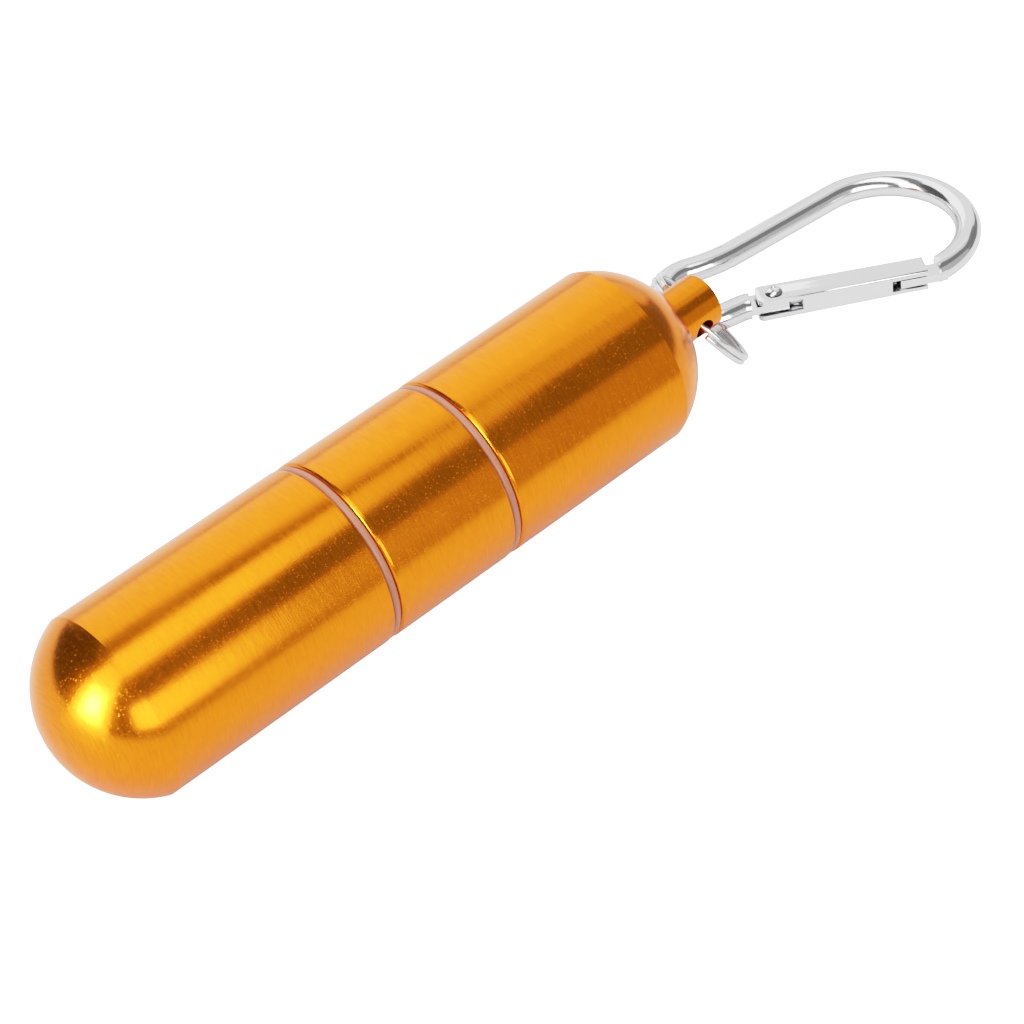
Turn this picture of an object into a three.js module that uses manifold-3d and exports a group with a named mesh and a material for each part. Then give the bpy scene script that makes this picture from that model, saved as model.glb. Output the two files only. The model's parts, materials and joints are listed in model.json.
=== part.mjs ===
// A three-section waterproof capsule with two ring seals, a drilled post, a split ring and a small
// spring clip. Millimetres, +Z up. The capsule lies along X, nose towards -X, post towards +X, and
// the capsule, the ring and the clip all rest on the plane z = 0.

import * as THREE from 'three';
import { mergeVertices } from 'three/addons/utils/BufferGeometryUtils.js';
import Module from 'manifold-3d';

const wasm = await Module();
wasm.setup();

// ---------------------------------------------------------------- driving dimensions: the capsule

const BODY_R = 13; // outside radius of the three sections
const FRONT_LENGTH = 34.6; // front shell, rim to the edge of its nose dome
const MIDDLE_LENGTH = 19.1; // middle section, shoulder to rim
const REAR_LENGTH = 29.3; // rear cap, shoulder to the edge of its dome
const NOSE_DOME_EXTRA = 0.86; // the nose's sphere radius, beyond BODY_R
const REAR_DOME_EXTRA = 0.75; // the rear dome's sphere radius, beyond BODY_R
const WALL = 1.5; // section wall beside the thread's socket
const SPIGOT_WALL = 1.6; // wall of a male spigot
const SPIGOT_LENGTH = 8.5; // from the mating rim to the spigot's end
const THREAD_CLEARANCE = 0.3; // radial, spigot to socket
const SOCKET_DEPTH = 10; // depth of the middle section's female end
const PARTITION = 1.5; // thickness of the wall inside the middle section
const BORE_CONE = 5; // length of the drill cone that ends each blind bore
const BORE_TIP_R = 6; // radius of the flat at the end of that cone
const FRONT_BORE_OVERRUN = 3.4; // how far the front shell's bore runs on past the edge of its dome
const REAR_BORE_OVERRUN = 0.7; // the same in the rear cap
const SHOULDER_ROUND = 0.8; // rounded edge beside each seal
const SHOULDER_STEP = 0.7; // how far the shoulder lies inside the outside radius
const RIM_CHAMFER = 0.25; // small edge on each rim

// ---------------------------------------------------------------- driving dimensions: the seals

const SEAL_WIDTH = 1.2; // space between a shoulder and its rim
const SEAL_INSET = 0.1; // how far the seal lies inside the outside radius
const SEAL_GAP = 0.05; // gap to each face beside it
const SEAL_BORE_GAP = 0.12; // gap to the spigot it sits on

// ---------------------------------------------------------------- driving dimensions: the post

const POST_R = 3.95; // radius of the drilled post
const POST_LENGTH = 6.9; // from the dome to the post's end
const POST_CHAMFER = 0.35; // edge of the post's end
const HOLE_PLAY = 0.21; // play around the ring's wire in the cross hole, each side
const HOLE_FROM_END = 3.35; // cross hole to the post's end
const HOLE_ROLL = 6; // degrees, how far the hole is rolled from level

// ---------------------------------------------------------------- driving dimensions: the split ring

const RING_R = 8.6; // outside radius
const RING_WIRE_W = 1.1; // wire, along the radius
const RING_WIRE_T = 0.7; // wire, along the ring's axis
const RING_COIL_GAP = 0.1; // between its two coils
const RING_CUT_MARGIN = 4.6; // degrees from the post's side to each cut end
const RING_ROLL = 12.5; // degrees, how far the ring is rolled from level, within the hole's play
const FLOOR_GAP = 0.04; // between the surface and the ring or the clip as each is let down on it

// ---------------------------------------------------------------- driving dimensions: the clip

const ROD_R = 1.85; // radius of the clip's rod
const WIDE_R = 11.7; // centre line of the wide lobe
const LOBE_R = 6; // centre line of the narrow lobe
const WAIST_R = 21.96; // bend between the spine and the narrow lobe
const WAIST_ANGLE = 8; // degrees, direction in which the waist enters the narrow lobe
const NECK_ANGLE = 20; // degrees, direction in which the rod leaves the narrow lobe
const NECK_RUN = 2.125; // straight stretch of the neck
const NECK_BEND_R = 4; // bend that brings the rod in line with the gate
const HINGE_RUN = 0.133; // straight stretch between that bend and the hinge shoulder
const GATE_INSET = 0.63; // centre line of the gate, inside the wide lobe's lowest point
const GATE_WIDTH = 3.7; // across the gate, in the clip's plane
const GATE_THICKNESS = 3.4; // across the gate, square to the clip's plane
const GATE_CHAMFER = 0.45; // long edges of the gate
const GATE_WEB = 0.7; // floor of the slot at the gate's nose end
const NOSE_SLOT = 5.1; // length of the slot at the nose end
const HINGE_SLOT = 6.2; // length of the slot at the hinge end
const NOSE_GAP = 1.85; // between the gate's end and the rod's milled shoulder
const GATE_END_X = 2.75; // nose end of the gate
const GATE_LENGTH = 24.1; // overall
const RIVET_INSET = 2.5; // rivet to the gate's hinge end
const RIVET_R = 0.8; // shank
const RIVET_HEAD_R = 1.2;
const RIVET_HEAD_H = 0.55;
const RIVET_GAP = 0.2; // radial, shank to its holes
const BLADE_T = 1.3; // thickness of the tongue and of the blade
const SLOT_GAP = 0.25; // each side of them, inside the gate's slots
const BLADE_REACH = 3.9; // how far the blade goes into the gate
const TONGUE_REACH = 1.8; // tongue, beyond the rivet
const HINGE_GAP = 1; // between the rod's hinge shoulder and the gate
const BORE_R = 1.05; // spring bore along the gate
const BORE_DEPTH = 9.5;
const BORE_GAP = 0.2; // radial, plunger and spring to the bore
const PLUNGER_LENGTH = 3.2;
const PLUNGER_GAP = 0.15; // plunger nose to the tongue
const SPRING_WIRE_R = 0.16;
const SPRING_TURNS = 8;

// How the clip lies: turned, pitched and rolled about its own wide lobe, with its rod through the ring.
const CLIP_YAW = -31.6;
const CLIP_PITCH = -4.2;
const CLIP_ROLL = -10.6;
const LINK_SIDE = -0.8; // the narrow lobe's foot, to the side of the ring's far point
const LINK_GAP = 0.35; // between the rod and the ring

// Facets
const TURNED_SIDES = 48;
const ROD_SIDES = 12;
const DOME_STEPS = 8;

const deg = THREE.MathUtils.degToRad;

// ---------------------------------------------------------------- materials

const anodised = new THREE.MeshStandardMaterial({ color: 0xe0912a, roughness: 0.3, metalness: 1 });
const silicone = new THREE.MeshStandardMaterial({ color: 0xc4927c, roughness: 0.5, metalness: 0 });
const nickel = new THREE.MeshStandardMaterial({ color: 0xb9b9bb, roughness: 0.2, metalness: 1 });
const springSteel = new THREE.MeshStandardMaterial({ color: 0x8d8f92, roughness: 0.35, metalness: 1 });

// ---------------------------------------------------------------- small tools

// A solid of revolution about X from [x, radius] points: along +X outside, back along -X inside.
function turned(points, sides = TURNED_SIDES) {
  const profile = points.map(([x, r]) => new THREE.Vector2(r, x));
  return new THREE.LatheGeometry(profile, sides).rotateZ(-Math.PI / 2);
}

// Points of a round stretch: centre, radius, first and last angle in radians.
function arc(cx, cy, r, from, to, steps) {
  return Array.from({ length: steps + 1 }, (_, i) => {
    const a = from + ((to - from) * i) / steps;
    return [cx + r * Math.cos(a), cy + r * Math.sin(a)];
  });
}

// A convex section [[side, up], ...] carried through stations { at, side, up }, closed at both ends.
// The section runs counter-clockwise, and side x up points back along the path.
function sweep(section, stations) {
  const n = section.length;
  const positions = [];
  for (const { at, side, up } of stations) {
    for (const [s, t] of section) {
      const p = at.clone().addScaledVector(side, s).addScaledVector(up, t);
      positions.push(p.x, p.y, p.z);
    }
  }
  const index = [];
  for (let i = 0; i + 1 < stations.length; i++) {
    for (let k = 0; k < n; k++) {
      const a = i * n + k;
      const b = i * n + ((k + 1) % n);
      index.push(a, b + n, b, a, a + n, b + n);
    }
  }
  const last = (stations.length - 1) * n;
  for (let k = 1; k + 1 < n; k++) {
    index.push(0, k, k + 1, last, last + k + 1, last + k);
  }
  const geometry = new THREE.BufferGeometry();
  geometry.setAttribute('position', new THREE.Float32BufferAttribute(positions, 3));
  geometry.setIndex(index);
  return geometry;
}

function roundSection(radius, sides) {
  return Array.from({ length: sides }, (_, i) => {
    const a = (2 * Math.PI * (i + 0.5)) / sides;
    return [radius * Math.cos(a), radius * Math.sin(a)];
  });
}

function toSolid(geometry) {
  const bare = geometry.clone();
  bare.deleteAttribute('normal');
  bare.deleteAttribute('uv');
  const merged = mergeVertices(bare, 1e-4);
  const all = Array.from(merged.index.array);
  const kept = [];
  for (let i = 0; i < all.length; i += 3) {
    const [a, b, c] = all.slice(i, i + 3);
    if (a !== b && b !== c && c !== a) kept.push(a, b, c);
  }
  const vertProperties = Float32Array.from(merged.attributes.position.array);
  return new wasm.Manifold(new wasm.Mesh({ numProp: 3, vertProperties, triVerts: Uint32Array.from(kept) }));
}

function fromSolid(solid) {
  const { vertProperties, triVerts } = solid.getMesh();
  const geometry = new THREE.BufferGeometry();
  geometry.setAttribute('position', new THREE.BufferAttribute(vertProperties, 3));
  geometry.setIndex(new THREE.BufferAttribute(triVerts, 1));
  return geometry;
}

function box(x0, x1, y0, y1, z0, z1) {
  const geometry = new THREE.BoxGeometry(x1 - x0, y1 - y0, z1 - z0);
  return geometry.translate((x0 + x1) / 2, (y0 + y1) / 2, (z0 + z1) / 2);
}

function named(name, geometry, material) {
  const mesh = new THREE.Mesh(geometry, material);
  mesh.name = name;
  return mesh;
}

// ---------------------------------------------------------------- where things lie along the capsule

// x = 0 is the front shell's rim. Each seal fills the space between a rim and the next shoulder.
const SOCKET_R = BODY_R - WALL;
const SPIGOT_R = SOCKET_R - THREAD_CLEARANCE;
const SPIGOT_BORE_R = SPIGOT_R - SPIGOT_WALL;
const middleShoulder = SEAL_WIDTH;
const middleRim = middleShoulder + MIDDLE_LENGTH;
const rearShoulder = middleRim + SEAL_WIDTH;
const rearDomeEdge = rearShoulder + REAR_LENGTH;

// Dome arc as [x, r] points, from its edge on the outside radius to radius endR; sign gives its side.
function dome(edge, sphereR, endR, sign) {
  const setBack = Math.sqrt(sphereR ** 2 - BODY_R ** 2);
  const centre = edge - sign * setBack;
  const from = Math.asin(BODY_R / sphereR);
  const to = Math.asin(endR / sphereR);
  return arc(0, 0, sphereR, from, to, DOME_STEPS).map(([along, r]) => [centre + sign * along, r]);
}

// A spigot with its seal seat and rounded shoulder, from the end of its bore wall round to BODY_R.
function spigotOutside(shoulder) {
  const end = shoulder - SEAL_WIDTH - SPIGOT_LENGTH;
  const lead = 0.6;
  return [
    [end, SPIGOT_BORE_R],
    [end, SPIGOT_R - lead],
    [end + lead, SPIGOT_R],
    [shoulder, SPIGOT_R],
    [shoulder, BODY_R - SHOULDER_STEP],
    ...arc(shoulder + SHOULDER_ROUND, BODY_R - SHOULDER_ROUND, SHOULDER_ROUND, Math.PI * 0.93, Math.PI / 2, 4),
  ];
}

// ---------------------------------------------------------------- front shell

// Nose dome, plain tube and socket, bored from the rim with a drill cone at the bottom.
const frontBoreDepth = FRONT_LENGTH + FRONT_BORE_OVERRUN;
const noseDome = dome(-FRONT_LENGTH, BODY_R + NOSE_DOME_EXTRA, 0, -1).reverse();
const frontShell = turned([
  ...noseDome,
  [-RIM_CHAMFER, BODY_R],
  [0, BODY_R - RIM_CHAMFER],
  [0, SOCKET_R],
  [-frontBoreDepth + BORE_CONE, SOCKET_R],
  [-frontBoreDepth, BORE_TIP_R],
  [-frontBoreDepth, 0],
]);

// ---------------------------------------------------------------- seals

function seal(rim) {
  const x0 = rim + SEAL_GAP;
  const x1 = rim + SEAL_WIDTH - SEAL_GAP;
  const inner = SPIGOT_R + SEAL_BORE_GAP;
  const outer = BODY_R - SEAL_INSET;
  const crown = (x1 - x0) / 2;
  return turned([
    [x0, inner],
    [x0, outer - crown / 2],
    [x0 + crown / 2, outer],
    [x1 - crown / 2, outer],
    [x1, outer - crown / 2],
    [x1, inner],
    [x0, inner],
  ]);
}

// ---------------------------------------------------------------- middle section

// Male end towards the nose, female end towards the post, and a wall between the two bores.
const partitionEnd = middleRim - SOCKET_DEPTH;
const middle = turned([
  [partitionEnd - PARTITION, 0],
  [partitionEnd - PARTITION, SPIGOT_BORE_R],
  ...spigotOutside(middleShoulder),
  [middleRim - RIM_CHAMFER, BODY_R],
  [middleRim, BODY_R - RIM_CHAMFER],
  [middleRim, SOCKET_R],
  [partitionEnd, SOCKET_R],
  [partitionEnd, 0],
]);

// ---------------------------------------------------------------- rear cap

// Male end, tube, dome and post; the cross hole goes through the post.
const rearDome = dome(rearDomeEdge, BODY_R + REAR_DOME_EXTRA, POST_R, 1);
const postRoot = rearDome[rearDome.length - 1][0];
const postEnd = postRoot + POST_LENGTH;
const rearBoreEnd = rearDomeEdge + REAR_BORE_OVERRUN;
const holeX = postEnd - HOLE_FROM_END;
const rearCapBlank = turned([
  [rearBoreEnd, 0],
  [rearBoreEnd, BORE_TIP_R],
  [rearBoreEnd - BORE_CONE, SPIGOT_BORE_R],
  ...spigotOutside(rearShoulder),
  ...rearDome,
  [postEnd - POST_CHAMFER, POST_R],
  [postEnd, POST_R - POST_CHAMFER],
  [postEnd, 0],
]);
// Inside the post the ring's line bows by ringSag, and climbs by ringClimb because ring and hole are
// rolled differently. The hole is wide enough for the wire with its bow and climb.
const ringLineR = RING_R - RING_WIRE_W / 2;
const postHalf = Math.asin(POST_R / ringLineR);
const ringSag = ringLineR * (1 - Math.cos(postHalf));
const ringClimb = POST_R * Math.sin(deg(Math.abs(RING_ROLL - HOLE_ROLL)));
const holeR = (RING_WIRE_W + ringSag + ringClimb) / 2 + HOLE_PLAY;
const crossDrill = new THREE.CylinderGeometry(holeR, holeR, 4 * POST_R, 24)
  .rotateX(deg(HOLE_ROLL))
  .translate(holeX, 0, 0);
const rearCap = fromSolid(toSolid(rearCapBlank).subtract(toSolid(crossDrill)));

// ---------------------------------------------------------------- split ring

// Flat wire in two coils. One coil crosses to the other inside the post's hole, so one wire fills it.
const ringCentre = ringLineR - (ringSag + ringClimb) / 2;
const coilOffset = (RING_WIRE_T + RING_COIL_GAP) / 2;

function coilHeight(angle) {
  const t = THREE.MathUtils.clamp((angle - 2 * Math.PI) / postHalf, -1, 1);
  return coilOffset * Math.sin((t * Math.PI) / 2);
}

function splitRing() {
  const half = RING_WIRE_W / 2;
  const thick = RING_WIRE_T / 2;
  const section = [[-half, -thick], [half, -thick], [half, thick], [-half, thick]];
  const from = postHalf + deg(RING_CUT_MARGIN);
  const to = 4 * Math.PI - from;
  const steps = 84;
  const stations = [];
  for (let i = 0; i <= steps; i++) {
    const angle = from + ((to - from) * i) / steps;
    const side = new THREE.Vector3(-Math.cos(angle), -Math.sin(angle), 0);
    const at = side.clone().multiplyScalar(ringLineR);
    at.x += ringCentre;
    at.z = coilHeight(angle);
    stations.push({ at, side, up: new THREE.Vector3(0, 0, 1) });
  }
  return sweep(section, stations);
}

// ---------------------------------------------------------------- clip body

const gateHingeX = GATE_END_X - GATE_LENGTH;
const rivetX = gateHingeX + RIVET_INSET;
const noseShoulderX = GATE_END_X + NOSE_GAP;
const hingeShoulderX = gateHingeX - HINGE_GAP;
const slotHeight = BLADE_T + 2 * SLOT_GAP;
const gateY = GATE_INSET - WIDE_R;

// The narrow lobe's centre, worked back from the hinge shoulder along the neck and its two bends.
const neckAngle = deg(NECK_ANGLE);
const neckBendX = hingeShoulderX - HINGE_RUN;
const lobeX = neckBendX - NECK_RUN * Math.cos(neckAngle) - (NECK_BEND_R + LOBE_R) * Math.sin(neckAngle);
const neckDrop = NECK_BEND_R * (1 - Math.cos(neckAngle)) + NECK_RUN * Math.sin(neckAngle);
const lobeY = gateY - neckDrop + LOBE_R * Math.cos(neckAngle);

// Centre line in the clip's plane: nose, wide lobe, spine, waist, narrow lobe, neck, hinge end.
function clipLine() {
  const quarter = Math.PI / 2;
  const waist = deg(WAIST_ANGLE);
  const waistX = lobeX - (LOBE_R + WAIST_R) * Math.sin(waist);
  const waistY = lobeY + (LOBE_R + WAIST_R) * Math.cos(waist);
  // The spine is the straight line that touches the wide lobe above and the waist's bend below.
  const spread = Math.asin((WIDE_R + WAIST_R) / Math.hypot(waistX, waistY));
  const spine = Math.atan2(waistY, waistX) - Math.PI + spread;
  const wide = arc(0, 0, WIDE_R, Math.asin(gateY / WIDE_R), quarter + spine, 30);
  const bend = arc(waistX, waistY, WAIST_R, spine - quarter, waist - quarter, 5);
  const lobe = arc(lobeX, lobeY, LOBE_R, quarter + waist, 3 * quarter + neckAngle, 18);
  const settle = arc(neckBendX, gateY - NECK_BEND_R, NECK_BEND_R, quarter + neckAngle, quarter, 4);
  return [...wide, ...bend, ...lobe.slice(1), ...settle, [hingeShoulderX, gateY]];
}

function rod(points) {
  const up = new THREE.Vector3(0, 0, 1);
  const line = points.map(([x, y]) => new THREE.Vector3(x, y, 0));
  const stations = line.map((at, i) => {
    const before = line[Math.max(i - 1, 0)];
    const after = line[Math.min(i + 1, line.length - 1)];
    const along = after.clone().sub(before).normalize();
    return { at, side: new THREE.Vector3().crossVectors(along, up), up };
  });
  return sweep(roundSection(ROD_R, ROD_SIDES), stations);
}

function clipBody() {
  const halfBlade = BLADE_T / 2;
  const gateOuter = gateY - GATE_WIDTH / 2;
  const gateInner = gateY + GATE_WIDTH / 2;
  const clear = 2 * ROD_R;
  // The rod's nose is milled back to a shoulder, square to the gate.
  const milling = box(noseShoulderX - 2 * clear, noseShoulderX, gateY - clear, gateY + clear, -clear, clear);
  // The blade goes into the slot in the gate's nose end and stops on the slot's floor.
  const bladeInner = gateInner - GATE_WEB - SLOT_GAP;
  const blade = box(GATE_END_X - BLADE_REACH, noseShoulderX + 1, gateOuter + 0.1, bladeInner, -halfBlade, halfBlade);
  // The tongue lies between the gate's cheeks, with a square end for the plunger to press on.
  const tongueHalf = GATE_WIDTH / 2 - 0.35;
  const tongue = box(
    hingeShoulderX - 0.6,
    rivetX + TONGUE_REACH,
    gateY - tongueHalf,
    gateY + tongueHalf,
    -halfBlade,
    halfBlade
  );
  const rivetHole = new THREE.CylinderGeometry(RIVET_R + RIVET_GAP, RIVET_R + RIVET_GAP, 4, 16)
    .rotateX(Math.PI / 2)
    .translate(rivetX, gateY, 0);
  const solid = toSolid(rod(clipLine()))
    .subtract(toSolid(milling))
    .add(toSolid(blade))
    .add(toSolid(tongue))
    .subtract(toSolid(rivetHole));
  return fromSolid(solid);
}

// ---------------------------------------------------------------- clip gate

// A bar with chamfered long edges, slotted at both ends and bored for the spring.
const slotFloorX = gateHingeX + HINGE_SLOT;
function clipGate() {
  const y0 = gateY - GATE_WIDTH / 2;
  const y1 = gateY + GATE_WIDTH / 2;
  const z = GATE_THICKNESS / 2;
  const c = GATE_CHAMFER;
  const outline = new THREE.Shape();
  outline.moveTo(y0 + c, -z);
  outline.lineTo(y1 - c, -z);
  outline.lineTo(y1, -z + c);
  outline.lineTo(y1, z - c);
  outline.lineTo(y1 - c, z);
  outline.lineTo(y0 + c, z);
  outline.lineTo(y0, z - c);
  outline.lineTo(y0, -z + c);
  outline.closePath();
  const bar = new THREE.ExtrudeGeometry(outline, { depth: GATE_LENGTH, bevelEnabled: false })
    .rotateY(Math.PI / 2)
    .rotateX(Math.PI / 2)
    .translate(gateHingeX, 0, 0);
  const half = slotHeight / 2;
  const hingeSlot = box(gateHingeX - 1, slotFloorX, y0 - 1, y1 + 1, -half, half);
  const noseSlot = box(GATE_END_X - NOSE_SLOT, GATE_END_X + 1, y0 - 1, y1 - GATE_WEB, -half, half);
  const bore = new THREE.CylinderGeometry(BORE_R, BORE_R, BORE_DEPTH + 1, 16)
    .rotateZ(Math.PI / 2)
    .translate(slotFloorX + (BORE_DEPTH - 1) / 2, gateY, 0);
  const rivetHole = new THREE.CylinderGeometry(RIVET_R + RIVET_GAP, RIVET_R + RIVET_GAP, 2 * GATE_THICKNESS, 16)
    .rotateX(Math.PI / 2)
    .translate(rivetX, gateY, 0);
  const solid = toSolid(bar)
    .subtract(toSolid(hingeSlot))
    .subtract(toSolid(noseSlot))
    .subtract(toSolid(bore))
    .subtract(toSolid(rivetHole));
  return fromSolid(solid);
}

// ---------------------------------------------------------------- rivet, plunger and spring

// Shank with a low domed head on each side, built along X and stood up square to the clip's plane.
function gateRivet() {
  const face = GATE_THICKNESS / 2 + 0.1;
  const top = face + RIVET_HEAD_H;
  const profile = [
    [-top, 0],
    [-top, RIVET_HEAD_R * 0.55],
    [-face - RIVET_HEAD_H * 0.45, RIVET_HEAD_R],
    [-face, RIVET_HEAD_R],
    [-face, RIVET_R],
    [face, RIVET_R],
    [face, RIVET_HEAD_R],
    [face + RIVET_HEAD_H * 0.45, RIVET_HEAD_R],
    [top, RIVET_HEAD_R * 0.55],
    [top, 0],
  ];
  return turned(profile, 16).rotateY(Math.PI / 2).translate(rivetX, gateY, 0);
}

const plungerNose = rivetX + TONGUE_REACH + PLUNGER_GAP;
const plungerR = BORE_R - BORE_GAP;
function gatePlunger() {
  const round = 0.35;
  const profile = [
    [plungerNose, 0],
    [plungerNose, plungerR - round],
    [plungerNose + round, plungerR],
    [plungerNose + PLUNGER_LENGTH, plungerR],
    [plungerNose + PLUNGER_LENGTH, 0],
  ];
  return turned(profile, 14).translate(0, gateY, 0);
}

// An open coil between the plunger and the bottom of the bore.
function gateSpring() {
  const from = plungerNose + PLUNGER_LENGTH + SPRING_WIRE_R + 0.1;
  const to = slotFloorX + BORE_DEPTH - SPRING_WIRE_R - 0.1;
  const coilR = plungerR - SPRING_WIRE_R;
  const perTurn = 12;
  const steps = SPRING_TURNS * perTurn;
  const stations = [];
  for (let i = 0; i <= steps; i++) {
    const a = (2 * Math.PI * i) / perTurn;
    const side = new THREE.Vector3(0, Math.cos(a), Math.sin(a));
    const at = side.clone().multiplyScalar(coilR);
    at.x = from + ((to - from) * i) / steps;
    at.y += gateY;
    stations.push({ at, side, up: new THREE.Vector3(1, 0, 0) });
  }
  return sweep(roundSection(SPRING_WIRE_R, 6), stations);
}

// ---------------------------------------------------------------- the assembly

const capsule = new THREE.Group();
capsule.position.z = BODY_R;
capsule.add(named('front_shell', frontShell, anodised));
capsule.add(named('front_seal', seal(0), silicone));
capsule.add(named('middle_section', middle, anodised));
capsule.add(named('rear_seal', seal(middleRim), silicone));
capsule.add(named('rear_cap', rearCap, anodised));

// The lowest point of a group as it stands.
function lowest(group) {
  group.updateMatrixWorld(true);
  return new THREE.Box3().setFromObject(group, true).min.z;
}

// The ring swings down on the hole until its far side touches the surface, or hangs if it can't.
const ring = new THREE.Group();
ring.position.set(holeX, 0, BODY_R);
const ringMesh = named('split_ring', splitRing(), nickel);
ring.add(ringMesh);
let clearTilt = 0;
let lowTilt = Math.PI / 2;
while (lowTilt - clearTilt > 1e-5) {
  const tilt = (clearTilt + lowTilt) / 2;
  ring.rotation.set(deg(RING_ROLL), tilt, 0);
  if (lowest(ring) > FLOOR_GAP) clearTilt = tilt;
  else lowTilt = tilt;
}
ring.rotation.y = clearTilt;
ring.updateMatrixWorld(true);

// The clip is turned to its lie and set down with its narrow lobe round the ring's far side, then
// drawn along X until its rod is LINK_GAP from the ring.
const clip = new THREE.Group();
clip.rotation.set(deg(CLIP_ROLL), deg(CLIP_PITCH), deg(CLIP_YAW), 'ZYX');
const clipRod = named('clip_body', clipBody(), nickel);
clip.add(clipRod);
clip.add(named('clip_gate', clipGate(), nickel));
clip.add(named('gate_rivet', gateRivet(), nickel));
clip.add(named('gate_plunger', gatePlunger(), springSteel));
clip.add(named('gate_spring', gateSpring(), springSteel));
const lobeFoot = new THREE.Vector3(lobeX, lobeY - LOBE_R, 0).applyEuler(clip.rotation);
const ringFar = new THREE.Vector3(ringCentre + ringLineR, 0, 0).applyEuler(ring.rotation).add(ring.position);
clip.position.set(ringFar.x - lobeFoot.x, ringFar.y + LINK_SIDE - lobeFoot.y, 0);
clip.position.z = FLOOR_GAP - lowest(clip);
clip.updateMatrixWorld(true);
const rodSolid = toSolid(clipRod.geometry.clone().applyMatrix4(clipRod.matrixWorld));
const ringSolid = toSolid(ringMesh.geometry.clone().applyMatrix4(ringMesh.matrixWorld));
let drawnBack = RING_R;
let drawnOut = 0;
while (drawnBack - drawnOut > 1e-4) {
  const draw = (drawnBack + drawnOut) / 2;
  if (rodSolid.translate([-draw, 0, 0]).minGap(ringSolid, 2 * LINK_GAP) < LINK_GAP) drawnOut = draw;
  else drawnBack = draw;
}
clip.position.x -= drawnBack;

// The origin is the middle of the underside of the whole object's box.
const object = new THREE.Group();
object.add(capsule, ring, clip);
object.updateMatrixWorld(true);
const extent = new THREE.Box3().setFromObject(object, true);
object.position.x = -(extent.min.x + extent.max.x) / 2;
object.position.y = -(extent.min.y + extent.max.y) / 2;

export default object;
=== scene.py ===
import json
import math

import bmesh
import bpy
from mathutils import Matrix, Vector


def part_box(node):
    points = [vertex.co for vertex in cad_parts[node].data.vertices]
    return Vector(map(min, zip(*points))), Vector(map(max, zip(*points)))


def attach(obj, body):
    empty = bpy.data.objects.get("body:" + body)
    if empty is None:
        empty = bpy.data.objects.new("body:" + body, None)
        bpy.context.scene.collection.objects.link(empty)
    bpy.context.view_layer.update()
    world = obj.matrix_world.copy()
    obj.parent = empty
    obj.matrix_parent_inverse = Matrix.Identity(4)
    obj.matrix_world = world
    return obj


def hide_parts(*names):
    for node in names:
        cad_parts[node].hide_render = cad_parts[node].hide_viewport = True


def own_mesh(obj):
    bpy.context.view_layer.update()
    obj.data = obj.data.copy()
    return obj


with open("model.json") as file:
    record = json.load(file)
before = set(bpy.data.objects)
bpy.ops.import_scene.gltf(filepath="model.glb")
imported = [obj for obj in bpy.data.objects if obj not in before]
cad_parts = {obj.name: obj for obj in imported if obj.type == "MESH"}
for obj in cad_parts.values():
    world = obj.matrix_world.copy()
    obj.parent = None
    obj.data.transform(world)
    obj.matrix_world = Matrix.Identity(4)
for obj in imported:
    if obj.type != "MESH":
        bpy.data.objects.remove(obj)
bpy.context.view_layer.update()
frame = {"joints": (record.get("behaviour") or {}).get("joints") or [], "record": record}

scene = bpy.context.scene

# ---------------------------------------------------------------- camera
# It looks down past the domed nose and along the capsule to its post and clip, level from side to
# side, from 0.4 m away. Bright tones roll off softly towards white.
VIEW_BACK = Vector((-0.4246, -0.4671, 0.7755))
VIEW_TARGET = Vector((-0.01362, -0.00975, 0.01374))
VIEW_DISTANCE = 0.4
LENS, FILM_WIDTH = 109.84, 36
camera_data = bpy.data.cameras.new("camera")
camera_data.lens = LENS
camera_data.sensor_width = FILM_WIDTH
camera_data.clip_start = 0.01
camera = bpy.data.objects.new("camera", camera_data)
camera.rotation_mode = "QUATERNION"
camera.rotation_quaternion = (-VIEW_BACK).to_track_quat("-Z", "Y")
camera.location = VIEW_TARGET + VIEW_BACK.normalized() * VIEW_DISTANCE
scene.collection.objects.link(camera)
scene.camera = camera

# Light of strength BRIGHTEST is the first to be pure white.
BRIGHTEST = 2.5
ROLL_OFF = ((0.06, 0.06), (0.342, 0.342), (0.6, 0.56), (1.0, 0.72), (1.49, 0.871), (2.2, 0.985))
scene.view_settings.view_transform = "Standard"
scene.view_settings.use_curve_mapping = True
tones = scene.view_settings.curve_mapping
tones.white_level = [BRIGHTEST] * 3
for strength, tone in ROLL_OFF:
    tones.curves[3].points.new(strength / BRIGHTEST, tone)
tones.update()

# ---------------------------------------------------------------- floor and studio light
# Plain softboxes stand round the capsule, most of them strips along it, over a plain white floor in
# a white room. Floor and room look white, and give less light than that to what stands on them.
STRIP_DISTANCE = 0.5
axis_point = (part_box("front_shell")[0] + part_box("front_shell")[1]) / 2
AXIS_Y, AXIS_Z = axis_point.y, axis_point.z


def glow(name, level):
    material = bpy.data.materials.new(name)
    material.use_nodes = True
    nodes = material.node_tree.nodes
    nodes.clear()
    emission = nodes.new("ShaderNodeEmission")
    emission.inputs["Color"].default_value = (1, 1, 1, 1)
    emission.inputs["Strength"].default_value = level
    output = nodes.new("ShaderNodeOutputMaterial")
    material.node_tree.links.new(emission.outputs[0], output.inputs["Surface"])
    return material


def stage_object(name, bm, material):
    """Something that isn't part of the object: a softbox or the floor."""
    mesh = bpy.data.meshes.new(name)
    bm.to_mesh(mesh)
    bm.free()
    mesh.materials.append(material)
    made = bpy.data.objects.new(name, mesh)
    scene.collection.objects.link(made)
    return made


def softbox(name, corners, level):
    """A glowing panel that only shows in what is shiny."""
    bm = bmesh.new()
    bm.faces.new([bm.verts.new(corner) for corner in corners])
    panel = stage_object(name, bm, glow(name, level))
    panel.visible_camera = False
    panel.visible_diffuse = False


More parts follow.
